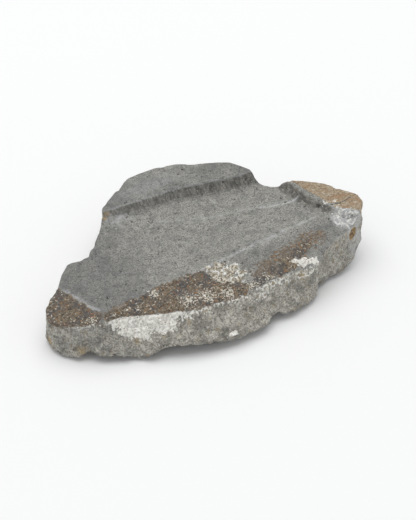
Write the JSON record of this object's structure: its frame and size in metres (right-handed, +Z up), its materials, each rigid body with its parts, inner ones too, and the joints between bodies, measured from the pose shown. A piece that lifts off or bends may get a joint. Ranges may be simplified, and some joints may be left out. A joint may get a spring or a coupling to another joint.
{
  "type": "basalt stone slab",
  "caption": "Broken leaf-shaped slab of grey basalt with a smooth ground hollow on top, a raised lobe and shoulder, a front bevel, and brown, ochre and white mineral layers.",
  "frame": {"origin": "centre of the overall box in plan, on the resting face at the bottom", "axes": "+X along the slab from the thin tip to the raised shoulder, +Y from the broken front to the raised lobe, +Z up"},
  "size_m": [0.26, 0.168, 0.047],
  "materials": {
    "basalt": "ground smooth on top, rough broken sides",
    "ochre_rind": "weathered, matt",
    "iron_crust": "granular, matt",
    "lime": "chalky, granular",
    "ochre_clay": "dry, matt"
  },
  "bodies": {
    "root": {"basalt_slab": "basalt", "rind_back_plate": "ochre_rind", "rind_end_plate": "ochre_rind", "iron_crust_tip": "iron_crust", "iron_crust_front": "iron_crust", "iron_crust_right": "iron_crust", "lime_crust_front": "lime", "lime_crust_ridge": "lime", "lime_crust_corner": "lime", "lime_film_end": "lime", "clay_pocket": "ochre_clay", "lime_crumb": "lime"}
  },
  "joints": []
}
